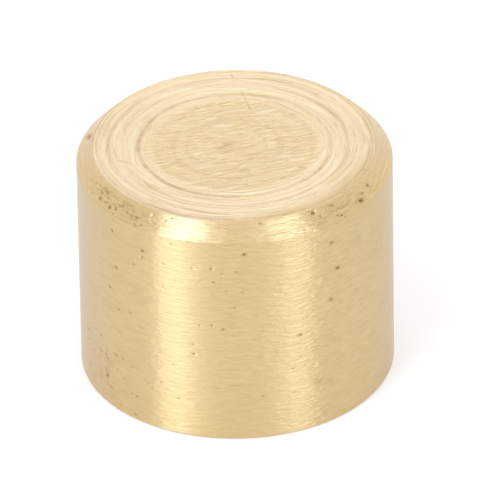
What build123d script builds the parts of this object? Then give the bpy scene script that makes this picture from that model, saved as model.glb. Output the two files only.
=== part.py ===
from build123d import *
import math
import os

# Female pipe cap with a parallel G 3/8 pipe thread, turned from 20 mm round brass bar,
# with a flat rubber sealing washer in a pocket at the closed end.
# Millimetres. The origin is the centre of the open end's rim and +Z points to the
# closed end, so the cap stands on its open end.

# Outside
outer_radius = 10.0
height = 15.7
top_chamfer = 1.0
rim_chamfer = 0.15

# Thread, ISO 228 G 3/8: 19 turns an inch, 55 degree flanks, right hand. Its crest is
# rounded by that standard, and is made as a narrow flat between two bevels.
pitch = 25.4 / 19
major_radius = 16.662 / 2
minor_radius = 14.950 / 2
flank_angle = math.radians(27.5)
crest_rounding = 0.1373 * pitch
crest_flat = 0.14
ridge_embed = 0.1

# Mouth: edge chamfer, plain counterbore, then a 45 degree lead-in to the thread
mouth_chamfer = 0.3
counterbore_radius = 8.5
counterbore_end = 1.5

# Inner end: thread relief groove, washer pocket, and a floor with the drill's point
relief_start = 10.3
relief_radius = 8.75
pocket_radius = minor_radius
pocket_start = 11.5
floor_height = 13.0
drill_point_radius = 1.6
drill_point_angle = math.radians(118 / 2)

# Sealing washer, held against the floor and standing out of its pocket
washer_radius = 7.4
washer_hole_radius = 4.5
washer_thickness = 2.0
washer_edge_radius = 0.15


def turned(outline):
    """Solid of revolution about Z from (radius, height) points."""
    profile = Plane.XZ * make_face(Polyline(*outline, close=True))
    return revolve(profile, axis=Axis.Z)


def blank():
    """Round bar, faced and chamfered, with no hole yet."""
    return turned([
        (0, 0),
        (outer_radius - rim_chamfer, 0),
        (outer_radius, rim_chamfer),
        (outer_radius, height - top_chamfer),
        (outer_radius - top_chamfer, height),
        (0, height),
    ])


def root_bore():
    """Bore at the radius of the thread's roots, as far as the relief groove."""
    middle_of_relief = (relief_start + pocket_start) / 2
    return turned([
        (0, -1),
        (major_radius, -1),
        (major_radius, middle_of_relief),
        (0, middle_of_relief),
    ])


def thread_ridge():
    """Helical ridge of the thread, bevelled at its crest and rooted in the wall."""
    pitch_radius = (major_radius + minor_radius) / 2
    base_radius = major_radius + ridge_embed
    base_half_width = pitch / 4 + (base_radius - pitch_radius) * math.tan(flank_angle)
    bevel_radius = minor_radius + crest_rounding * (1 - math.sin(flank_angle))
    bevel_half_width = crest_rounding * math.cos(flank_angle)

    start = pitch / 2
    rise = (relief_start + pocket_start) / 2 - start
    helix = Helix(pitch, rise, pitch_radius, center=(0, 0, start))
    upper_half = [
        (minor_radius, crest_flat / 2),
        (bevel_radius, bevel_half_width),
        (base_radius, base_half_width),
    ]
    upper = [(radius, start + offset) for radius, offset in upper_half]
    lower = [(radius, start - offset) for radius, offset in reversed(upper_half)]
    profile = Plane.XZ * make_face(Polyline(*upper, *lower, close=True))
    # Started on the -X side, so that no end or seam of the ridge meets the bore's seam
    return Rotation(0, 0, 180) * sweep(profile, path=helix, is_frenet=True)


def inner_form():
    """What is cut from the threaded bore: mouth, thread relief, washer pocket, floor."""
    inside_thread = minor_radius - 0.5
    lead_in_end = counterbore_end + counterbore_radius - inside_thread
    relief_flank = relief_radius - major_radius
    drill_point_depth = drill_point_radius / math.tan(drill_point_angle)
    return turned([
        (0, -1),
        (counterbore_radius + mouth_chamfer + 1, -1),
        (counterbore_radius, mouth_chamfer),
        (counterbore_radius, counterbore_end),
        (inside_thread, lead_in_end),
        (inside_thread, relief_start),
        (major_radius, relief_start),
        (relief_radius, relief_start + relief_flank),
        (relief_radius, pocket_start),
        (pocket_radius, pocket_start),
        (pocket_radius, floor_height),
        (drill_point_radius, floor_height),
        (0, floor_height + drill_point_depth),
    ])


def cap_body():
    """The whole brass cap."""
    threaded = blank() - root_bore() + thread_ridge()
    return threaded - inner_form()


def sealing_washer():
    """Flat rubber ring against the floor of the cap, with softened edges."""
    ring = turned([
        (washer_hole_radius, floor_height - washer_thickness),
        (washer_radius, floor_height - washer_thickness),
        (washer_radius, floor_height),
        (washer_hole_radius, floor_height),
    ])
    return fillet(ring.edges().filter_by(GeomType.CIRCLE), washer_edge_radius)


parts = {
    "cap_body": cap_body(),
    "sealing_washer": sealing_washer(),
}

os.makedirs("parts", exist_ok=True)
for node, shape in parts.items():
    export_step(shape, f"parts/{node}.step")
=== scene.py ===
import math

import bmesh
import bpy
import numpy as np
from mathutils import Matrix, Vector


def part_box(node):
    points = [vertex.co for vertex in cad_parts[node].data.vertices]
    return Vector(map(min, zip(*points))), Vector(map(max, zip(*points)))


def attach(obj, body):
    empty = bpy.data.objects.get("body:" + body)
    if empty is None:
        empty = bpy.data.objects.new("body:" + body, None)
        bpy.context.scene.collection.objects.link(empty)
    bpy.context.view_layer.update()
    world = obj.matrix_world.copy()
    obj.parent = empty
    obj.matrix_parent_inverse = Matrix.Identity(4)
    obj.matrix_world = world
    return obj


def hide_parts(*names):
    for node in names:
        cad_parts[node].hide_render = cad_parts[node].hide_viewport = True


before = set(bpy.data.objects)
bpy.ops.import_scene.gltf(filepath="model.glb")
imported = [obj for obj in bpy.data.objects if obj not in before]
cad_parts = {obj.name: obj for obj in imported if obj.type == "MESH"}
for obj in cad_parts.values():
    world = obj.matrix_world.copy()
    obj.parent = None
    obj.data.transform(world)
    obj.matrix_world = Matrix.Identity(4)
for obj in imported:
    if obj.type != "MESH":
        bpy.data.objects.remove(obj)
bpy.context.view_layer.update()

# Lengths below are in millimetres; Blender's are in metres.
MM = 0.001

# Outside of the cap, from the frame. It stands on z = 0 with its axis on z.
body_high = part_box("cap_body")[1]
OUTER_RADIUS = body_high.x / MM
HEIGHT = body_high.z / MM

# Edges of the cap.
TOP_CHAMFER = 1.0
TOP_EDGE_ROUNDING = 0.14
CHAMFER_EDGE_ROUNDING = 0.12
RIM_EDGE_ROUNDING = 0.2

# Inside of the cap: mouth, thread relief, washer pocket and drill point.
MOUTH_CHAMFER = 0.3
COUNTERBORE_RADIUS = 8.5
COUNTERBORE_END = 1.5
RELIEF_START = 10.3
RELIEF_RADIUS = 8.75
POCKET_START = 11.5
FLOOR_HEIGHT = 13.0
DRILL_POINT_RADIUS = 1.6
DRILL_POINT_ANGLE = math.radians(118)
DRILL_POINT_DEPTH = DRILL_POINT_RADIUS / math.tan(DRILL_POINT_ANGLE / 2)

# ISO 228 G 3/8 thread: 19 turns an inch, 55 degree flanks, rounded crests and roots.
PITCH = 25.4 / 19
MAJOR_RADIUS = 16.662 / 2
MINOR_RADIUS = 14.950 / 2
FLANK_ANGLE = math.radians(27.5)
THREAD_ROUNDING = 0.1373 * PITCH

# Points round the cap: outside, inside, and the fewest at the centre of a face. The full
# count is kept down to a share of the outer radius.
OUTSIDE_COLUMNS = 256
INSIDE_COLUMNS = 128
CENTRE_COLUMNS = 16
FULL_COUNT_SHARE = 0.62
# How far a rounded corner turns from one row to the next.
DEGREES_A_ROW = 15

# Tool marks on the closed end, the chamfer and the side: their greatest depth, and the
# wavelengths that they are made of, which on the chamfer are shares of its height.
FACING_DEPTH = 0.004
FACING_WAVES = (0.27, 0.36, 0.53, 0.81)
CHAMFER_DEPTH = 0.008
CHAMFER_WAVES = (0.19, 0.27, 0.42)
TURNING_DEPTH = 0.003
TURNING_WAVES = (0.31, 0.4, 0.58, 0.75)

# Studio: the floor's own light, and the softboxes' distance and the front ones' colour.
FLOOR_GLOW = 0.25
SOFTBOX_DISTANCE = 400
COOL_WHITE = (0.76, 1.0, 1.31)

# The photograph's camera: angle above the horizon, distance, lens, roll, and how far it
# aims to the right of the cap's middle and above it.
CAMERA_ELEVATION = math.radians(32.9)
CAMERA_DISTANCE = 632.6
CAMERA_LENS = 716.7
CAMERA_ROLL = math.radians(0.93)
CAMERA_AIM_RIGHT = 0.886
CAMERA_AIM_UP = -0.06


# ---------------------------------------------------------------- outline of the cap


def corner_path(corners, spacing):
    """Rows (radius, height, normal_r, normal_z) along straight runs with rounded corners.

    corners is a list of (radius, height, rounding); spacing has each run's row spacing.
    The metal lies to the right of the path, so the normal points to its left.
    """
    points = [np.array(c[:2], float) for c in corners]
    rows = []
    leave = points[0]
    for i in range(1, len(points)):
        run = points[i] - points[i - 1]
        along = run / np.linalg.norm(run)
        arrive = points[i]
        arc = []
        if i < len(points) - 1 and corners[i][2] > 0:
            after = points[i + 1] - points[i]
            after = after / np.linalg.norm(after)
            turn = math.acos(np.clip(along @ after, -1, 1))
            side = math.copysign(1, along[0] * after[1] - along[1] * after[0])
            rounding = corners[i][2]
            arrive = points[i] - along * rounding * math.tan(turn / 2)
            centre = arrive + side * rounding * np.array([-along[1], along[0]])
            steps = max(3, round(math.degrees(turn) / DEGREES_A_ROW))
            for k in range(1, steps + 1):
                angle = side * turn * k / steps
                c, s = math.cos(angle), math.sin(angle)
                turned = np.array([[c, -s], [s, c]])
                point = centre + turned @ (arrive - centre)
                heading = turned @ along
                arc.append((*point, -heading[1], heading[0]))
        length = np.linalg.norm(arrive - leave)
        count = max(1, round(length / spacing[i - 1]))
        for k in range(0 if i == 1 else 1, count + 1):
            rows.append((*(leave + (arrive - leave) * k / count), -along[1], along[0]))
        rows.extend(arc)
        leave = np.array(arc[-1][:2]) if arc else arrive
    return rows


def outside_rows():
    """From the centre of the closed end, over the chamfer and side, to the thread's start."""
    mouth_rounding = 0.05
    corners = [
        (0, HEIGHT, 0),
        (OUTER_RADIUS - TOP_CHAMFER, HEIGHT, TOP_EDGE_ROUNDING),
        (OUTER_RADIUS, HEIGHT - TOP_CHAMFER, CHAMFER_EDGE_ROUNDING),
        (OUTER_RADIUS, 0, RIM_EDGE_ROUNDING),
        (COUNTERBORE_RADIUS + MOUTH_CHAMFER, 0, mouth_rounding),
        (COUNTERBORE_RADIUS, MOUTH_CHAMFER, mouth_rounding),
        (COUNTERBORE_RADIUS, COUNTERBORE_END, 0),
    ]
    # Closed end, chamfer, side, rim, mouth chamfer, counterbore
    spacing = [0.085, 0.14, 0.12, 0.3, 0.2, 0.3]
    return corner_path(corners, spacing)


def inside_rows():
    """From just past the thread's end, through the relief and pocket, to the drill's point."""
    flank_start = 0.03
    corners = [
        (MAJOR_RADIUS + flank_start, RELIEF_START + flank_start, 0),
        (RELIEF_RADIUS, RELIEF_START + RELIEF_RADIUS - MAJOR_RADIUS, 0.1),
        (RELIEF_RADIUS, POCKET_START, 0.12),
        (MINOR_RADIUS, POCKET_START, 0.06),
        (MINOR_RADIUS, FLOOR_HEIGHT, 0.1),
        (DRILL_POINT_RADIUS, FLOOR_HEIGHT, 0.08),
        (0, FLOOR_HEIGHT + DRILL_POINT_DEPTH, 0),
    ]
    # Relief's flank and wall, its top, the pocket's wall, the floor, the drill's cone
    spacing = [0.2, 0.3, 0.4, 0.4, 0.35, 0.35]
    return corner_path(corners, spacing)


def thread_radius(offset):
    """Wall radius of the thread at an axial distance from the middle of its ridge."""
    u = np.abs((offset + PITCH / 2) % PITCH - PITCH / 2)
    bend = THREAD_ROUNDING * math.cos(FLANK_ANGLE)
    crest = MINOR_RADIUS + THREAD_ROUNDING - np.sqrt(np.maximum(THREAD_ROUNDING**2 - u**2, 0))
    valley = PITCH / 2 - u
    root = MAJOR_RADIUS - THREAD_ROUNDING + np.sqrt(np.maximum(THREAD_ROUNDING**2 - valley**2, 0))
    bend_radius = MINOR_RADIUS + THREAD_ROUNDING * (1 - math.sin(FLANK_ANGLE))
    flank = bend_radius + (u - bend) / math.tan(FLANK_ANGLE)
    return np.where(u < bend, crest, np.where(valley < bend, root, flank))


# ---------------------------------------------------------------- marks on the metal


def spot_on_side(azimuth, height):
    """Point on the side. Azimuth is in degrees from the front, to the right."""
    a = math.radians(azimuth)
    return np.array([OUTER_RADIUS * math.sin(a), -OUTER_RADIUS * math.cos(a), height])


def spot_on_chamfer(azimuth, share):
    """Point on the chamfer, at a share of the way down it."""
    a = math.radians(azimuth)
    radius = OUTER_RADIUS - TOP_CHAMFER * (1 - share)
    return np.array([radius * math.sin(a), -radius * math.cos(a), HEIGHT - TOP_CHAMFER * share])


# Pits that stand out: azimuth, height or share of the way down the chamfer,
# and radius.
SIDE_PITS = [
    (2.9, 13.9, 0.14), (0.0, 12.6, 0.11), (-8.2, 11.8, 0.10), (-1.1, 9.95, 0.10),
    (-9.1, 8.6, 0.12), (-4.9, 8.3, 0.13), (-16.0, 12.7, 0.10), (-36.2, 13.1, 0.14),
    (-36.2, 12.6, 0.13), (-50.9, 13.5, 0.13), (-49.1, 10.9, 0.14), (-40.0, 11.8, 0.10),
    (-52.9, 9.1, 0.13), (23.2, 7.3, 0.15), (39.5, 11.35, 0.15), (36.3, 9.2, 0.14),
    (36.8, 13.4, 0.14), (20.9, 3.1, 0.11), (-22.3, 2.7, 0.10), (8.6, 3.2, 0.08),
    (-9.0, 12.8, 0.12), (-5.0, 12.5, 0.08), (-3.9, 11.2, 0.10), (1.9, 11.1, 0.08),
    (-13.6, 8.5, 0.10), (-15.9, 7.0, 0.11), (-15.9, 6.3, 0.12), (20.2, 4.9, 0.10),
    (-24.0, 14.2, 0.10), (-48.0, 7.8, 0.09), (-42.3, 8.0, 0.10), (-56.0, 2.1, 0.17),
    (-53.8, 1.5, 0.13), (51.8, 7.6, 0.09), (-27.4, 12.6, 0.09), (-24.0, 5.2, 0.09),
]
CHAMFER_PITS = [
    (-101, 0.3, 0.3), (-103, 0.5, 0.22), (-60.2, 0.75, 0.14), (-58.9, 0.35, 0.12),
    (-53.7, 0.8, 0.14), (-40.2, 0.6, 0.12), (-37.1, 0.85, 0.10), (31.8, 0.2, 0.15),
    (42.9, 0.8, 0.12), (54.3, 0.7, 0.17), (62.3, 0.4, 0.15), (9.5, 0.15, 0.12),
]
# Scattered pits: everywhere, with a share of them on the chamfer, and in a cluster low on
# the side, whose azimuth and height are given as (middle, spread).
RANDOM_PITS = 55
RANDOM_ON_CHAMFER = 0.35
CLUSTER_PITS = 50
CLUSTER_AZIMUTH = (-55, 9)
CLUSTER_HEIGHT = (2.6, 1.4)
# Stretches of the chamfer with small pits and grime: middle azimuth, spread, pits, grime.
CHAMFER_CLUSTERS = [(-52, 12, 24, 1.0), (46, 13, 10, 0.8), (-8, 10, 1, 0.3), (160, 40, 6, 0.5)]
# A placed pit of this radius is fully stained, and a small one is stained this much.
DARKEST_PIT = 0.18
LEAST_STAIN = 0.6
# A pit's depth as a share of its radius, and how steep its wall is.
PIT_DEPTH_SHARE = 0.2
PIT_STEEPNESS = 1.4

# Dull patches on the side: azimuth, height, radius, strength.
SMUDGES = [
    (30.0, 3.5, 0.35, 0.9), (35.5, 3.1, 0.4, 0.5), (-60.0, 2.0, 0.45, 0.6), (-45.0, 4.2, 0.5, 0.3),
    (-55.0, 3.2, 0.6, 0.35), (-66.0, 1.2, 0.4, 0.4), (-52.0, 1.1, 0.5, 0.35),
]


def all_pits():
    """Every pit as (centre, radius, stain, stretch): the placed ones, and a seeded scatter."""
    chance = np.random.default_rng(7)
    spots = [(spot_on_side(a, z), r) for a, z, r in SIDE_PITS]
    spots += [(spot_on_chamfer(a, s), r) for a, s, r in CHAMFER_PITS]
    pits = []
    for spot, size in spots:
        stain = np.clip(size / DARKEST_PIT, LEAST_STAIN, 1.0)
        pits.append((spot, size, stain, chance.uniform(1.0, 1.7)))

    def scatter(spot, sizes, stains, longest):
        pits.append((spot, chance.uniform(*sizes), chance.uniform(*stains), chance.uniform(1, longest)))

    lowest = 0.4
    for _ in range(CLUSTER_PITS):
        height = lowest + abs(chance.normal(*CLUSTER_HEIGHT))
        scatter(spot_on_side(chance.normal(*CLUSTER_AZIMUTH), height), (0.07, 0.15), (0.25, 0.6), 2)
    for middle, spread, how_many, _ in CHAMFER_CLUSTERS:
        for _ in range(how_many):
            spot = spot_on_chamfer(chance.normal(middle, spread), chance.uniform(0.12, 0.95))
            scatter(spot, (0.06, 0.11), (0.3, 0.7), 2.4)
    for _ in range(RANDOM_PITS):
        azimuth = chance.uniform(0, 360)
        if chance.random() < RANDOM_ON_CHAMFER:
            spot = spot_on_chamfer(azimuth, chance.uniform(0.2, 0.9))
        else:
            # More of them high up
            spot = spot_on_side(azimuth, 1 + (HEIGHT - 2.5) * chance.uniform(0, 1) ** 0.6)
        scatter(spot, (0.05, 0.1), (0.2, 0.6), 2)
    return pits


# Scratches as (start, end, half width). On the closed end the places are (x, y), on the
# side (azimuth, height), and on the chamfer (azimuth, share of the way down).
END_SCRATCHES = [
    ((0.5, 6.4), (1.1, 4.0), 0.055), ((-1.2, 6.2), (-0.3, 5.1), 0.05),
    ((-0.15, 8.4), (0.0, 7.95), 0.13), ((-7.3, -1.6), (-6.5, -2.0), 0.07),
    ((-4.6, -0.2), (-2.3, 0.1), 0.06), ((0.0, -1.5), (3.2, -0.4), 0.06),
    ((-2.0, -2.9), (1.0, -3.0), 0.05), ((-1.6, 1.7), (1.6, 2.7), 0.06),
    ((2.6, 5.1), (4.4, 3.4), 0.07), ((-1.0, -3.9), (1.2, -3.8), 0.05),
]
SIDE_SCRATCHES = [
    ((-17, 14.6), (-12, 14.6), 0.05), ((-12, 14.6), (-6, 14.6), 0.05),
    ((-6, 14.6), (0, 14.62), 0.05), ((-3.7, 4.05), (1.5, 4.15), 0.07),
    ((-11.4, 6.7), (-4.6, 6.7), 0.05), ((0.8, 8.1), (9.4, 8.1), 0.045),
    ((5.0, 7.55), (9.0, 7.5), 0.04), ((-11.0, 3.9), (-6.0, 3.85), 0.04),
]
CHAMFER_SCRATCHES = [
    ((-12, 0.15), (-4, 0.15), 0.045), ((-4, 0.15), (5, 0.16), 0.045),
    ((-48, 0.6), (-41, 0.62), 0.05), ((-41, 0.62), (-34, 0.66), 0.05),
    ((12, 0.72), (20, 0.7), 0.04), ((-62, 0.25), (-57, 0.42), 0.06),
    ((36, 0.1), (41, 0.14), 0.06), ((28, 0.1), (33, 0.08), 0.07),
]


def all_scratches():
    """Every scratch as (start, end, half width) in space."""
    found = [((*a, HEIGHT), (*b, HEIGHT), w) for a, b, w in END_SCRATCHES]
    for scratches, spot in ((SIDE_SCRATCHES, spot_on_side), (CHAMFER_SCRATCHES, spot_on_chamfer)):
        found += [(tuple(spot(*a)), tuple(spot(*b)), w) for a, b, w in scratches]
    return found


# Rings left by facing the closed end: share of the radius, depth (negative stands
# proud), half width, azimuth where it is strongest, and how much it fades opposite. The
# allowance is a dip towards the centre, so that no ring stands out past the CAD.
FACING_RINGS = [
    (0.607, 0.013, 0.16, -60, 0.55),
    (0.565, -0.005, 0.20, -60, 0.4),
    (0.665, -0.005, 0.25, -40, 0.4),
    (0.716, 0.008, 0.12, 75, 0.7),
    (0.797, 0.007, 0.13, -80, 0.6),
    (0.872, 0.007, 0.12, 10, 0.6),
    (0.880, 0.005, 0.20, 18, 1.0),
    (0.500, 0.004, 0.20, 40, 0.6),
    (0.390, 0.004, 0.22, -20, 0.6),
    (0.300, 0.004, 0.20, 150, 0.6),
    (0.200, 0.003, 0.15, 60, 0.6),
]
DEEPEST_RING = 0.013
PROUD_ALLOWANCE = 0.02
# The hollow left at the centre of the closed end: x, y, radius, strength.
CENTRE_NIB = [(-0.5, 0.05, 0.34, 1.0), (-0.8, -0.3, 0.3, 0.7), (-0.5, -0.7, 0.28, 0.45)]
NIB_DEPTH = 0.02
# Where the closed end's edge is rubbed.
RUBBED_AZIMUTH = math.radians(42)


def window(x, low, high, blur):
    """1 between low and high, and smoothly 0 outside them."""
    rise = np.clip((x - low) / blur, 0, 1)
    fall = np.clip((high - x) / blur, 0, 1)
    both = rise * fall
    return both * both * (3 - 2 * both)


def waves(x, lengths, seed):
    """Irregular ridges along x: sines of the given wavelengths, between 0 and 1."""
    chance = np.random.default_rng(seed)
    total = np.zeros_like(x)
    for length in lengths:
        total += np.sin(2 * math.pi * (x / length + chance.random()))
    return 0.5 + 0.5 * total / len(lengths)


def carve(p):
    """At rest points p (n by 3): the depth cut in, how pitted it is, how worn and painted with shade in
    the grooves, how grimy.
    """
    x, y, z = p.T
    radius = np.hypot(x, y)
    azimuth = np.arctan2(x, -y)
    # Tool marks stay clear of the rounded edges
    end_edge = OUTER_RADIUS - TOP_CHAMFER
    chamfer_foot = HEIGHT - TOP_CHAMFER
    on_top = window(radius, -1, end_edge - 0.06, 0.1) * (z > HEIGHT - 0.2)
    on_side = window(z, 0.25, chamfer_foot - 0.1, 0.15) * (radius > OUTER_RADIUS - 0.2)

    # Facing: rings and fine tool marks, in a surface that dips towards the centre
    rings = np.zeros_like(radius)
    for share, depth, half_width, strongest, fade in FACING_RINGS:
        round_it = 1 - fade * (0.5 - 0.5 * np.cos(azimuth - math.radians(strongest)))
        off = radius - share * OUTER_RADIUS
        rings += depth * round_it * np.exp(-((off / half_width) ** 2))
    facing = rings + PROUD_ALLOWANCE * np.clip(1.05 - radius / OUTER_RADIUS, 0, 0.5)
    facing += FACING_DEPTH * waves(radius, FACING_WAVES, seed=3)
    nib = np.zeros_like(radius)
    for nib_x, nib_y, size, strength in CENTRE_NIB:
        squared = (x - nib_x) ** 2 + (y - nib_y) ** 2
        nib = np.maximum(nib, strength * np.exp(-squared / size**2))
    facing += NIB_DEPTH * nib
    cut = on_top * facing
    # The facing grooves are darkened in colour: partly stain, partly painted shade in the grooves
    worn_and_groove_shade = on_top * np.clip(rings / DEEPEST_RING, 0, 1)
    worn_and_groove_shade += on_top * (0.25 * np.exp(-((radius / 1.1) ** 2)) + 0.6 * nib)

    # Turning: shallow ridges round the chamfer, and round the side, where they drift
    share = (HEIGHT - z) / TOP_CHAMFER
    on_chamfer = window(share, 0.1, 0.9, 0.15) * (radius > end_edge)
    wobble = 0.04 * np.sin(2 * azimuth + 0.4)
    cut += on_chamfer * CHAMFER_DEPTH * waves(share + wobble, CHAMFER_WAVES, seed=9)
    grimy = np.zeros_like(radius)
    for middle, spread, _, grime in CHAMFER_CLUSTERS:
        off = (np.degrees(azimuth) - middle + 180) % 360 - 180
        grimy = np.maximum(grimy, on_chamfer * grime * np.exp(-0.25 * (off / spread) ** 2))
    drift = z + 0.02 * np.sin(azimuth + 1)
    cut += on_side * TURNING_DEPTH * waves(drift, TURNING_WAVES, seed=5)

    # Dull patches and pits
    for azimuth_there, height, size, strength in SMUDGES:
        squared = ((p - spot_on_side(azimuth_there, height)) ** 2).sum(axis=1)
        worn_and_groove_shade += strength * np.exp(-squared / size**2)
    pitted = on_top * 0.25 * nib
    for centre, size, stain, stretch in PITS:
        near = np.abs(p - centre).max(axis=1) < 2 * size * stretch
        offset = p[near] - centre
        sideways = offset @ np.array([-centre[1], centre[0], 0]) / math.hypot(centre[0], centre[1])
        squared = (offset**2).sum(axis=1) - (1 - stretch**-2) * sideways**2
        bowl = np.exp(-PIT_STEEPNESS * squared / size**2)
        cut[near] += size * PIT_DEPTH_SHARE * bowl
        pitted[near] = np.maximum(pitted[near], stain * bowl)
    return cut, pitted, worn_and_groove_shade, grimy


# ---------------------------------------------------------------- mesh of the cap


def columns_at(radius, most):
    """How many points go round at a radius: halved towards the centre of a face."""
    count = most
    while count > CENTRE_COLUMNS and radius < OUTER_RADIUS * FULL_COUNT_SHARE * count / most:
        count //= 2
    return count


class Shell:
    """Vertices and faces of the cap while it is put together, in millimetres."""

    def __init__(self):
        self.points = []
        self.normals = []
        self.faces = []

    def add(self, angle, radius, height, normal=(0, 0)):
        """A vertex. normal is its (radial, axial) direction, or (0, 0) for Blender's own."""
        self.points.append((radius * math.cos(angle), radius * math.sin(angle), height))
        self.normals.append(normal)
        return len(self.points) - 1

    def ring(self, row, columns):
        """Vertices round the axis at one row, or the one vertex of a row at the axis."""
        radius, height, normal_r, normal_z = row
        if radius < 1e-6:
            return [self.add(0, 0, height, (0, normal_z))]
        turn = 2 * math.pi / columns
        return [self.add(turn * k, radius, height, (normal_r, normal_z)) for k in range(columns)]

    def join(self, first, second):
        """Faces between two rings whose counts are equal, one twice the other, or one."""
        a, b = len(first), len(second)
        for k in range(min(a, b) if min(a, b) > 1 else max(a, b)):
            if a == 1:
                self.faces.append((first[0], second[k], second[(k + 1) % b]))
            elif b == 1:
                self.faces.append((first[k], second[0], first[(k + 1) % a]))
            elif a == b:
                n = (k + 1) % a
                self.faces.append((first[k], second[k], second[n], first[n]))
            elif a > b:
                f0, f1, f2 = first[2 * k], first[2 * k + 1], first[(2 * k + 2) % a]
                s0, s1 = second[k], second[(k + 1) % b]
                self.faces.extend([(f0, s0, f1), (f1, s0, s1), (f1, s1, f2)])
            else:
                f0, f1 = first[k], first[(k + 1) % a]
                s0, s1, s2 = second[2 * k], second[2 * k + 1], second[(2 * k + 2) % b]
                self.faces.extend([(f0, s0, s1), (f0, s1, f1), (f1, s1, s2)])

    def strip(self, rows, columns_of, before=None):
        """A run of rings, each joined to the one before it. Returns the last ring."""
        for row in rows:
            ring = self.ring(row, columns_of(row))
            if before:
                self.join(before, ring)
            before = ring
        return before


def outside_columns(row):
    """Columns of an outside row: fewer inside the mouth and near the axis."""
    radius, height = row[:2]
    rim_width = 0.6
    if height < HEIGHT / 2:
        return INSIDE_COLUMNS if radius < OUTER_RADIUS - rim_width else OUTSIDE_COLUMNS
    return columns_at(radius, OUTSIDE_COLUMNS)


def thread_column(shell, angle):
    """One column of the thread's wall: its (row number, vertex) pairs from the mouth up, its
    end vertex, and the rows in a turn."""
    bend = THREAD_ROUNDING * math.cos(FLANK_ANGLE)
    rounded = [-bend, -bend / 2, 0, bend / 2, bend]
    steps = rounded + [PITCH / 4] + [PITCH / 2 + b for b in rounded] + [PITCH * 3 / 4]
    ridge = PITCH / 2 + PITCH * (angle - math.pi) / (2 * math.pi)
    clear = 0.03
    column = []
    for turn in range(-1, round(RELIEF_START / PITCH) + 2):
        for k, step in enumerate(steps):
            height = ridge + turn * PITCH + step
            if COUNTERBORE_END + clear < height < RELIEF_START - clear:
                lead_in = COUNTERBORE_RADIUS - (height - COUNTERBORE_END)
                radius = max(float(thread_radius(step)), lead_in)
                column.append((turn * len(steps) + k, shell.add(angle, radius, height)))
    end_radius = float(thread_radius(RELIEF_START - ridge))
    return column, shell.add(angle, end_radius, RELIEF_START), len(steps)


def add_thread(shell, mouth_ring):
    """The helical wall from the mouth's ring to the thread's end. Returns its end ring."""
    count = len(mouth_ring)
    made = [thread_column(shell, 2 * math.pi * k / count) for k in range(count)]
    rows_a_turn = made[0][2]
    endless = 10**9
    for k in range(count):
        n = (k + 1) % count
        shift = rows_a_turn if n == 0 else 0
        left = [(-endless, mouth_ring[k]), *made[k][0], (endless, made[k][1])]
        right = [(row - shift, vertex) for row, vertex in made[n][0]]
        right = [(-endless, mouth_ring[n]), *right, (endless, made[n][1])]
        i = j = 0
        while i < len(left) - 1 or j < len(right) - 1:
            next_left = left[i + 1][0] if i < len(left) - 1 else 2 * endless
            next_right = right[j + 1][0] if j < len(right) - 1 else 2 * endless
            face = [left[i][1]]
            if next_left <= next_right:
                i += 1
                face.append(left[i][1])
            if next_right <= next_left:
                face.append(right[j + 1][1])
            face.append(right[j][1])
            if next_right <= next_left:
                j += 1
            shell.faces.append(tuple(face))
    return [end for _, end, _ in made]


def cap_shell():
    """The plain cap as one closed shell, without its marks."""
    shell = Shell()
    mouth_ring = shell.strip(outside_rows(), outside_columns)
    end_ring = add_thread(shell, mouth_ring)
    shell.strip(inside_rows(), lambda row: columns_at(row[0], INSIDE_COLUMNS), end_ring)
    return shell


def under_pits(centres):
    """Which of the face centres (n by 3) lie where a pit is cut."""
    under = np.zeros(len(centres), bool)
    for pit, size, _, stretch in PITS:
        under |= np.abs(centres - pit).max(axis=1) < 1.2 * size * stretch + 0.08
    return under


def refine(mesh):
    """Splits the faces under pits, so that the pits are cut in the mesh."""
    plain = len(mesh.vertices)
    centres = np.zeros(3 * len(mesh.polygons))
    mesh.polygons.foreach_get("center", centres)
    bm = bmesh.new()
    bm.from_mesh(mesh)
    bm.faces.ensure_lookup_table()
    marked = [bm.faces[i] for i in np.flatnonzero(under_pits(centres.reshape(-1, 3)))]
    edges = list({e for f in marked for e in f.edges})
    bmesh.ops.subdivide_edges(bm, edges=edges, cuts=3, use_grid_fill=True)
    bm.verts.ensure_lookup_table()
    # New points lie on chords between columns: out to the round surface
    turn = 2 * math.pi / OUTSIDE_COLUMNS
    for v in bm.verts[plain:]:
        part = math.atan2(v.co.y, v.co.x) % turn
        bulge = math.cos(part - turn / 2) / math.cos(turn / 2)
        v.co.x *= bulge
        v.co.y *= bulge
    bm.to_mesh(mesh)
    bm.free()


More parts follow.
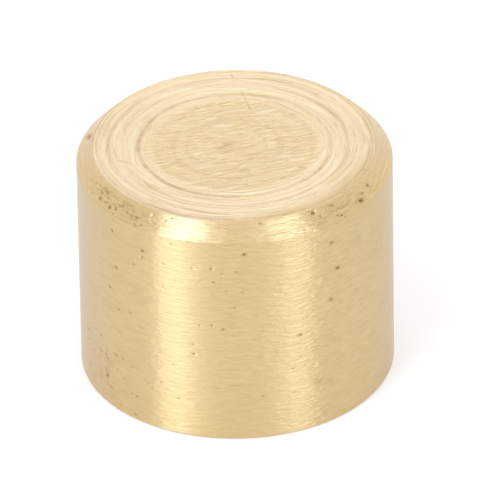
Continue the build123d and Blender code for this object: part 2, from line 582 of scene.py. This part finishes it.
def cap_mesh():
    """The cap's mesh with its marks cut in, exact normals, and masks for the material."""
    shell = cap_shell()
    mesh = bpy.data.meshes.new("brass_cap")
    mesh.from_pydata(shell.points, [], shell.faces)
    for k, name in enumerate(("normal_r", "normal_z")):
        layer = mesh.attributes.new(name, "FLOAT", "POINT")
        layer.data.foreach_set("value", np.array([n[k] for n in shell.normals], np.float32))

    refine(mesh)

    count = len(mesh.vertices)
    rest = np.zeros(count * 3)
    mesh.vertices.foreach_get("co", rest)
    rest = rest.reshape(-1, 3)
    outline = np.zeros((2, count))
    for k, name in enumerate(("normal_r", "normal_z")):
        mesh.attributes[name].data.foreach_get("value", outline[k])
        mesh.attributes.remove(mesh.attributes[name])
    angle = np.arctan2(rest[:, 1], rest[:, 0])
    normal = np.stack([outline[0] * np.cos(angle), outline[0] * np.sin(angle), outline[1]], 1)
    # Points of the outline have normals of their own. The thread's are left to Blender.
    own = np.linalg.norm(normal, axis=1) > 0.5
    normal[own] /= np.linalg.norm(normal[own], axis=1)[:, None]

    around = np.stack([-np.sin(angle), np.cos(angle), np.zeros(count)], 1)
    along = np.cross(normal, around)
    cut, *masks = carve(rest)
    step = 0.008
    slope = np.zeros_like(rest)
    for tangent in (around, along):
        rise = carve(rest + step * tangent)[0] - carve(rest - step * tangent)[0]
        slope += (rise / (2 * step))[:, None] * tangent
    shaped = rest - np.where(own, cut, 0)[:, None] * normal
    facing = normal + slope
    facing[~own] = 0
    facing[own] /= np.linalg.norm(facing[own], axis=1)[:, None]

    mesh.vertices.foreach_set("co", (shaped * MM).ravel())
    for name, values in zip(("pitted", "worn_and_groove_shade", "grimy"), masks):
        layer = mesh.attributes.new(name, "FLOAT", "POINT")
        layer.data.foreach_set("value", values.astype(np.float32))
    mesh.update()
    mesh.shade_smooth()
    mesh.set_sharp_from_angle(angle=math.radians(32))
    mesh.normals_split_custom_set_from_vertices(facing)
    return mesh


def new_piece(name, mesh, material, node, body):
    """A shown piece that stands for a CAD node and moves with its body."""
    piece = bpy.data.objects.new(name, mesh)
    bpy.context.scene.collection.objects.link(piece)
    mesh.materials.append(material)
    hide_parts(node)
    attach(piece, body)


# ---------------------------------------------------------------- sealing washer


def washer_mesh():
    """The rubber washer: soft edges, and a thin moulding line round its outside."""
    low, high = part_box("sealing_washer")
    outside, bottom, top = high.x / MM, low.z / MM, high.z / MM
    middle = (bottom + top) / 2
    hole = 4.5
    rounding = 0.22
    # The moulding line stands this far out, and is this wide either side of the middle
    flash = 0.04
    line_foot = 0.12
    line_tip = 0.03
    corners = [
        (hole, middle, 0),
        (hole, top, rounding),
        (outside - flash, top, rounding),
        (outside - flash, middle + line_foot, 0.04),
        (outside, middle + line_tip, 0.02),
        (outside, middle - line_tip, 0.02),
        (outside - flash, middle - line_foot, 0.04),
        (outside - flash, bottom, rounding),
        (hole, bottom, rounding),
        (hole, middle, 0),
    ]
    spacing = [0.3, 0.2, 0.3, 0.1, 0.1, 0.1, 0.3, 0.2, 0.3]
    rows = corner_path(corners, spacing)[:-1]
    shell = Shell()
    rings = [shell.ring(row, INSIDE_COLUMNS) for row in rows]
    for k, ring in enumerate(rings):
        shell.join(ring, rings[(k + 1) % len(rings)])
    # A faint wave, so that it lies in its pocket like rubber and not like glass
    points = np.array(shell.points)
    angle = np.arctan2(points[:, 1], points[:, 0])
    sunk = (top - points[:, 2]) / (top - bottom)
    wave_height = 0.02
    points[:, 2] += wave_height * sunk * (1 + np.sin(3 * angle + 0.7))
    mesh = bpy.data.meshes.new("rubber_washer")
    mesh.from_pydata([tuple(p * MM) for p in points], [], shell.faces)
    mesh.update()
    mesh.shade_smooth()
    return mesh


# ---------------------------------------------------------------- materials


class Nodes:
    """Short calls for building a material's nodes."""

    def __init__(self, name):
        self.material = bpy.data.materials.new(name)
        self.material.use_nodes = True
        self.tree = self.material.node_tree
        self.shader = self.tree.nodes["Principled BSDF"]

    def feed(self, socket, value):
        """Links an output to a socket, or sets the socket's own value."""
        if isinstance(value, bpy.types.NodeSocket):
            self.tree.links.new(value, socket)
        elif value is not None:
            socket.default_value = value

    def math(self, operation, a, b=None):
        node = self.tree.nodes.new("ShaderNodeMath")
        node.operation = operation
        self.feed(node.inputs[0], a)
        self.feed(node.inputs[1], b)
        return node.outputs[0]

    def vector(self, operation, a, b=None):
        node = self.tree.nodes.new("ShaderNodeVectorMath")
        node.operation = operation
        self.feed(node.inputs[0], a)
        self.feed(node.inputs[1], b)
        return node.outputs["Value" if operation in ("LENGTH", "DOT_PRODUCT") else "Vector"]

    def combine(self, x, y, z):
        node = self.tree.nodes.new("ShaderNodeCombineXYZ")
        for socket, value in zip(node.inputs, (x, y, z)):
            self.feed(socket, value)
        return node.outputs[0]

    def separate(self, vector):
        node = self.tree.nodes.new("ShaderNodeSeparateXYZ")
        self.feed(node.inputs[0], vector)
        return node.outputs[:]

    def millimetres(self):
        """Object coordinates in millimetres."""
        node = self.tree.nodes.new("ShaderNodeTexCoord")
        return self.vector("MULTIPLY", node.outputs["Object"], (1 / MM,) * 3)

    def noise(self, vector, scale, detail=2.0, roughness=0.5, distortion=0.0):
        node = self.tree.nodes.new("ShaderNodeTexNoise")
        self.feed(node.inputs["Vector"], vector)
        node.inputs["Scale"].default_value = scale
        node.inputs["Detail"].default_value = detail
        node.inputs["Roughness"].default_value = roughness
        node.inputs["Distortion"].default_value = distortion
        return node.outputs["Fac"]

    def between(self, value, low, high, to_low=0.0, to_high=1.0):
        """Maps low..high smoothly to to_low..to_high."""
        node = self.tree.nodes.new("ShaderNodeMapRange")
        node.interpolation_type = "SMOOTHSTEP"
        self.feed(node.inputs["Value"], value)
        node.inputs["From Min"].default_value = low
        node.inputs["From Max"].default_value = high
        node.inputs["To Min"].default_value = to_low
        node.inputs["To Max"].default_value = to_high
        return node.outputs[0]

    def line(self, place, start, end, half_width):
        """1 on a straight line between two points, and smoothly 0 beside it."""
        run = Vector(end) - Vector(start)
        from_start = self.vector("SUBTRACT", place, tuple(start))
        share = self.vector("DOT_PRODUCT", from_start, tuple(run / run.length_squared))
        share = self.math("MAXIMUM", self.math("MINIMUM", share, 1.0), 0.0)
        nearest = self.combine(*(self.math("MULTIPLY", share, part) for part in run))
        away = self.vector("LENGTH", self.vector("SUBTRACT", from_start, nearest))
        return self.between(away, half_width, 0.0)

    def mix(self, factor, a, b):
        """Mixes two colours, which are inputs 6 and 7 and output 2 of the node."""
        node = self.tree.nodes.new("ShaderNodeMix")
        node.data_type = "RGBA"
        self.feed(node.inputs["Factor"], factor)
        self.feed(node.inputs[6], a)
        self.feed(node.inputs[7], b)
        return node.outputs[2]

    def bump(self, height, distance, normal=None):
        """Bumps of the given depth in millimetres."""
        node = self.tree.nodes.new("ShaderNodeBump")
        node.inputs["Distance"].default_value = distance * MM
        self.feed(node.inputs["Height"], height)
        self.feed(node.inputs["Normal"], normal)
        return node.outputs[0]

    def attribute(self, name):
        node = self.tree.nodes.new("ShaderNodeAttribute")
        node.attribute_name = name
        return node.outputs["Fac"]


def colour(red, green, blue):
    """A linear colour as Blender wants it."""
    return (red, green, blue, 1.0)


# Brass where it is clean, and where it is marked, worn or stained. The chamfer and closed end
# colours are also painted light, and the worn colour also paints shade into the facing grooves.
SIDE_DEEP = colour(0.765, 0.55, 0.265)
SIDE_PALE = colour(0.785, 0.57, 0.28)
CHAMFER_BRASS_PAINTED_LIGHTER = colour(0.84, 0.62, 0.32)
MIDDLE_BRASS_AND_PAINTED_LIGHT = colour(0.94, 0.71, 0.405)
RING_BRASS_AND_PAINTED_LIGHT = colour(0.96, 0.755, 0.48)
RUBBED_METAL = colour(0.80, 0.58, 0.30)
DARK_MARK = colour(0.72, 0.49, 0.22)
BRIGHT_MARK = colour(1.0, 0.88, 0.66)
THIN_MARK = colour(0.66, 0.42, 0.18)
DULL_SPOT = colour(0.56, 0.38, 0.17)
WORN_METAL_AND_GROOVE_SHADE = colour(0.60, 0.37, 0.155)
GRIME = colour(0.50, 0.32, 0.14)
SCRATCH = colour(0.52, 0.32, 0.14)
PIT_STAIN = colour(0.46, 0.19, 0.06)
GRAZING_TINT = colour(0.62, 0.67, 0.85)

# Heights of the brass's bumps.
FINE_BUMP = 0.045
COARSE_BUMP = 0.03
MARK_BUMP = 0.26
MOTTLE_BUMP = 0.012
SCRATCH_BUMP = 0.012


def brass():
    """Bare turned brass: tool lines round the axis, a rubbed middle, pits and stains."""
    n = Nodes("turned_brass")
    place = n.millimetres()
    x, y, z = n.separate(place)
    radius = n.vector("LENGTH", n.combine(x, y, 0.0))
    end_edge = OUTER_RADIUS - TOP_CHAMFER
    on_end = n.between(z, HEIGHT - 0.2, HEIGHT - 0.15)
    on_end = n.math("MULTIPLY", on_end, n.between(radius, end_edge - 0.02, end_edge - 0.1))
    on_side = n.math("SUBTRACT", 1.0, on_end)
    chamfer_foot = HEIGHT - TOP_CHAMFER
    on_chamfer = n.math("MULTIPLY", on_side, n.between(z, chamfer_foot - 0.05, chamfer_foot + 0.07))

    # Tool lines are long along the cut and narrow across it. Across it, this runs with
    # the height on the side and with the radius on the closed end.
    across = n.math("SUBTRACT", z, radius)

    def arcs(length, spacing, detail, distortion=0.0):
        along_x = n.math("MULTIPLY", x, 1 / length)
        along_y = n.math("MULTIPLY", y, 1 / length)
        stretched = n.combine(along_x, along_y, n.math("MULTIPLY", across, 1 / spacing))
        return n.noise(stretched, 1.0, detail, 0.6, distortion)

    fine = arcs(0.9, 0.2, 2.0)
    coarse = arcs(5.0, 0.45, 2.0, 0.3)
    ring_lines = arcs(4.0, 0.34, 3.0, 0.5)
    patches = n.noise(place, 0.22, 3.0, 0.55)
    mottle = n.noise(place, 1.7, 4.0, 0.65)

    # The middle of the closed end was rubbed almost straight across after facing
    on_middle = n.math("MULTIPLY", on_end, n.between(radius, 4.9, 6.0, 1.0, 0.0))
    on_ring = n.math("SUBTRACT", on_end, on_middle)
    lean = math.radians(15)
    stroke_way = (math.cos(lean), math.sin(lean), 0)
    along = n.vector("DOT_PRODUCT", place, stroke_way)
    aside = n.vector("DOT_PRODUCT", place, (-math.sin(lean), math.cos(lean), 0))
    stretched = n.combine(n.math("MULTIPLY", along, 0.55), n.math("MULTIPLY", aside, 2.3), 0.0)
    strokes = n.noise(stretched, 1.0, 4.0, 0.6, 1.4)
    marks = n.math("MULTIPLY", strokes, on_middle)
    marks = n.math("ADD", marks, n.math("MULTIPLY", ring_lines, on_ring))
    marks = n.math("ADD", marks, n.math("MULTIPLY", on_side, 0.5))

    # Colour: slow change on the side, and darker and brighter tool marks on the closed end
    base = n.mix(n.between(patches, 0.3, 0.7), SIDE_DEEP, SIDE_PALE)
    # Painted light: the chamfer is painted lighter than the side, for the brighter light it catches
    base = n.mix(on_chamfer, base, CHAMFER_BRASS_PAINTED_LIGHTER)
    # The closed end is painted lighter than the side: partly its rubbed and faced finish, partly
    # painted light for the brighter light on its top
    base = n.mix(on_end, base, n.mix(on_ring, MIDDLE_BRASS_AND_PAINTED_LIGHT, RING_BRASS_AND_PAINTED_LIGHT))
    base = n.mix(n.between(marks, 0.51, 0.68, 0.0, 0.42), base, DARK_MARK)
    base = n.mix(n.between(marks, 0.48, 0.32, 0.0, 0.42), base, BRIGHT_MARK)
    # The closed end's edge is rubbed down to plain brass at the front right
    rubbed_way = (math.sin(RUBBED_AZIMUTH), -math.cos(RUBBED_AZIMUTH), 0)
    toward = n.vector("DOT_PRODUCT", place, rubbed_way)
    rubbed = n.between(n.math("DIVIDE", toward, radius), 0.72, 0.94)
    rubbed = n.math("MULTIPLY", rubbed, n.between(radius, end_edge - 1.25, end_edge - 0.6))
    rubbed = n.math("MULTIPLY", rubbed, on_end)
    base = n.mix(n.math("MULTIPLY", rubbed, 0.75), base, RUBBED_METAL)
    # Thin dark lines where strokes meet
    thin = n.between(n.math("ABSOLUTE", n.math("SUBTRACT", strokes, 0.5)), 0.0, 0.022, 1.0, 0.0)
    thin = n.math("MULTIPLY", thin, n.between(mottle, 0.42, 0.58, 0.1, 1.0))
    thin = n.math("MULTIPLY", thin, on_middle)
    base = n.mix(n.math("MULTIPLY", thin, 0.3), base, THIN_MARK)
    # Dull spots everywhere, worn rings with painted shade in their grooves, smudges, and grime on the
    # chamfer
    base = n.mix(n.between(mottle, 0.60, 0.78, 0.0, 0.22), base, DULL_SPOT)
    broken = n.between(n.noise(place, 2.2, 2.0), 0.35, 0.65, 0.55, 1.0)
    worn_and_groove_shade = n.math("MULTIPLY", n.attribute("worn_and_groove_shade"), broken)
    # Painted shade darkens the facing grooves, along with the centre's stain and the smudges
    base = n.mix(n.math("MULTIPLY", worn_and_groove_shade, 0.7), base, WORN_METAL_AND_GROOVE_SHADE)
    streaks = n.between(arcs(0.8, 0.22, 3.0, 0.8), 0.47, 0.66)
    grimy = n.math("MULTIPLY", n.attribute("grimy"), streaks)
    base = n.mix(n.math("MULTIPLY", grimy, 0.55), base, GRIME)

    # Scratches, and pits with ragged stains
    scratched = 0.0
    for start, end, half_width in all_scratches():
        scratched = n.math("MAXIMUM", scratched, n.line(place, start, end, half_width))
    scratched = n.math("MULTIPLY", scratched, broken)
    base = n.mix(n.math("MULTIPLY", scratched, 0.6), base, SCRATCH)
    ragged = n.between(n.noise(place, 8.0, 2.0), 0.3, 0.7, 0.5, 1.4)
    pitted = n.math("MULTIPLY", n.attribute("pitted"), ragged)
    base = n.mix(n.between(pitted, 0.08, 0.9, 0.0, 0.85), base, PIT_STAIN)
    n.feed(n.shader.inputs["Base Color"], base)

    # Gloss: the closed end is duller than the side, and pits are matt
    gloss = n.between(fine, 0.25, 0.75, 0.31, 0.41)
    gloss = n.math("ADD", gloss, n.math("MULTIPLY", on_end, 0.2))
    gloss = n.math("ADD", gloss, n.math("MULTIPLY", pitted, 0.25))
    n.feed(n.shader.inputs["Roughness"], gloss)

    # Relief too fine for the mesh. The tool chattered more on the right of the side, and
    # the closed end's marks are deeper in its middle than round it.
    chatter = n.math("MULTIPLY", on_side, n.between(x, -3.0, 3.0, 0.85, 1.9))
    normal = n.bump(n.math("MULTIPLY", fine, chatter), FINE_BUMP)
    normal = n.bump(n.math("MULTIPLY", coarse, on_side), COARSE_BUMP, normal)
    shallower = n.math("MULTIPLY", on_ring, 0.35)
    deeper = n.math("SUBTRACT", n.math("MULTIPLY", on_middle, 0.25), shallower)
    relief = n.math("MULTIPLY", n.math("SUBTRACT", marks, 0.5), deeper)
    relief = n.math("ADD", relief, n.math("MULTIPLY", marks, on_end))
    normal = n.bump(relief, MARK_BUMP, normal)
    normal = n.bump(mottle, MOTTLE_BUMP, normal)
    normal = n.bump(n.math("MULTIPLY", scratched, -1.0), SCRATCH_BUMP, normal)
    n.feed(n.shader.inputs["Normal"], normal)

    # The gloss is drawn out across the tool lines, and on the end across the strokes
    tangent = n.tree.nodes.new("ShaderNodeTangent")
    tangent.direction_type = "RADIAL"
    tangent.axis = "Z"
    n.feed(n.shader.inputs["Tangent"], n.mix(on_end, tangent.outputs[0], (*stroke_way, 1.0)))
    n.shader.inputs["Metallic"].default_value = 1.0
    n.shader.inputs["Anisotropic"].default_value = 1.0
    n.shader.inputs["Anisotropic Rotation"].default_value = 0.25
    # Brass gives back less at a grazing view, where its thin oil film shows whiter
    n.shader.inputs["Specular Tint"].default_value = GRAZING_TINT
    n.shader.inputs["Coat Weight"].default_value = 0.68
    n.shader.inputs["Coat Roughness"].default_value = 0.35
    n.shader.inputs["Coat IOR"].default_value = 1.33
    return n.material


def rubber():
    """Black moulded rubber with a dusty bloom and a fine grain."""
    n = Nodes("washer_rubber")
    place = n.millimetres()
    grain = n.noise(place, 9.0, 3.0, 0.6)
    bloom = n.noise(place, 0.8, 4.0, 0.6)
    clean = colour(0.018, 0.018, 0.019)
    dusty = colour(0.045, 0.044, 0.042)
    base = n.mix(n.between(bloom, 0.4, 0.7), clean, dusty)
    n.feed(n.shader.inputs["Base Color"], base)
    n.feed(n.shader.inputs["Roughness"], n.between(grain, 0.3, 0.7, 0.55, 0.75))
    n.feed(n.shader.inputs["Normal"], n.bump(grain, 0.02))
    n.shader.inputs["Specular IOR Level"].default_value = 0.4
    return n.material


# ---------------------------------------------------------------- stage, lights, camera


def floor():
    """A plain pale floor."""
    half_metres = 1.2
    mesh = bpy.data.meshes.new("floor")
    corners = [(half_metres * a, half_metres * b, 0) for a, b in ((-1, -1), (1, -1), (1, 1), (-1, 1))]
    mesh.from_pydata(corners, [], [(0, 1, 2, 3)])
    n = Nodes("floor_white")
    place = n.millimetres()
    tone = n.between(n.noise(place, 0.02, 2.0), 0.3, 0.7)
    base = n.mix(tone, colour(0.74, 0.74, 0.74), colour(0.76, 0.76, 0.76))
    n.feed(n.shader.inputs["Base Color"], base)
    n.shader.inputs["Roughness"].default_value = 0.9
    n.shader.inputs["Specular IOR Level"].default_value = 0.1
    n.feed(n.shader.inputs["Emission Color"], colour(1, 1, 1))
    n.shader.inputs["Emission Strength"].default_value = FLOOR_GLOW
    mesh.materials.append(n.material)
    piece = bpy.data.objects.new("floor", mesh)
    bpy.context.scene.collection.objects.link(piece)


def softbox(name, azimuth, elevation, width, height, radiance, lean=0.0, tint=(1, 1, 1)):
    """A softbox aimed at the cap. Azimuth is from the front, to the right; angles in degrees."""
    a, e = math.radians(azimuth), math.radians(elevation)
    away = Vector((math.sin(a) * math.cos(e), -math.cos(a) * math.cos(e), math.sin(e)))
    light = bpy.data.lights.new(name, "AREA")
    light.shape = "RECTANGLE"
    light.size = width * MM
    light.size_y = height * MM
    light.energy = radiance * math.pi * light.size * light.size_y
    light.color = tint
    lamp = bpy.data.objects.new(name, light)
    lamp.location = (Vector((0, 0, HEIGHT / 2)) + away * SOFTBOX_DISTANCE) * MM
    lamp.rotation_mode = "QUATERNION"
    turn = Matrix.Rotation(math.radians(lean), 3, "Z").to_quaternion()
    lamp.rotation_quaternion = away.to_track_quat("Z", "Y") @ turn
    bpy.context.scene.collection.objects.link(lamp)


def studio():
    """A white tent, darker to the sides and below, with four softboxes in it."""
    world = bpy.data.worlds.new("tent")
    world.use_nodes = True
    tree = world.node_tree
    way = tree.nodes.new("ShaderNodeTexCoord")
    parts = tree.nodes.new("ShaderNodeSeparateXYZ")
    tree.links.new(way.outputs["Generated"], parts.inputs[0])
    sideways = tree.nodes.new("ShaderNodeMath")
    sideways.operation = "ABSOLUTE"
    tree.links.new(parts.outputs["X"], sideways.inputs[0])
    # Its light falls off where the way is far to a side, and more so below
    low_down = tree.nodes.new("ShaderNodeMath")
    low_down.operation = "MULTIPLY_ADD"
    tree.links.new(parts.outputs["Z"], low_down.inputs[0])
    low_down.inputs[1].default_value = -0.6
    tree.links.new(sideways.outputs[0], low_down.inputs[2])
    strength = tree.nodes.new("ShaderNodeMapRange")
    for name, value in (("From Min", 0.5), ("From Max", 0.95), ("To Min", 0.93), ("To Max", 0.72)):
        strength.inputs[name].default_value = value
    tree.links.new(low_down.outputs[0], strength.inputs["Value"])
    background = tree.nodes["Background"]
    background.inputs["Color"].default_value = (1, 1, 1, 1)
    tree.links.new(strength.outputs[0], background.inputs["Strength"])
    bpy.context.scene.world = world
    tall = {"elevation": 28, "height": 480, "tint": COOL_WHITE}
    softbox("softbox_left", azimuth=-42, width=165, radiance=2.9, lean=-8, **tall)
    softbox("softbox_right", azimuth=40, width=125, radiance=1.95, lean=8, **tall)
    softbox("softbox_above", azimuth=0, elevation=66, width=220, height=180, radiance=0.3)
    softbox("softbox_behind", azimuth=180, elevation=38, width=420, height=240, radiance=0.5)
    bpy.context.scene.view_settings.view_transform = "Standard"


def camera():
    """The photograph's camera: a long lens looking down at the cap."""
    e = CAMERA_ELEVATION
    back = Vector((0, -math.cos(e), math.sin(e)))
    right = Vector((1, 0, 0))
    up = back.cross(right)
    aim = Vector((0, 0, HEIGHT / 2)) + right * CAMERA_AIM_RIGHT + up * CAMERA_AIM_UP
    data = bpy.data.cameras.new("camera")
    data.sensor_width = 36
    data.lens = CAMERA_LENS
    data.clip_start = 0.01
    data.clip_end = 20
    piece = bpy.data.objects.new("camera", data)
    middle = Vector((0, 0, HEIGHT / 2))
    piece.location = (middle + back * CAMERA_DISTANCE) * MM
    facing = (aim - middle - back * CAMERA_DISTANCE).to_track_quat("-Z", "Y")
    piece.rotation_mode = "QUATERNION"
    piece.rotation_quaternion = facing @ Matrix.Rotation(-CAMERA_ROLL, 3, "Z").to_quaternion()
    bpy.context.scene.collection.objects.link(piece)
    bpy.context.scene.camera = piece


# ---------------------------------------------------------------- scene

PITS = all_pits()

new_piece("brass_cap", cap_mesh(), brass(), "cap_body", "cap")
new_piece("rubber_washer", washer_mesh(), rubber(), "sealing_washer", "washer")
floor()
studio()
camera()
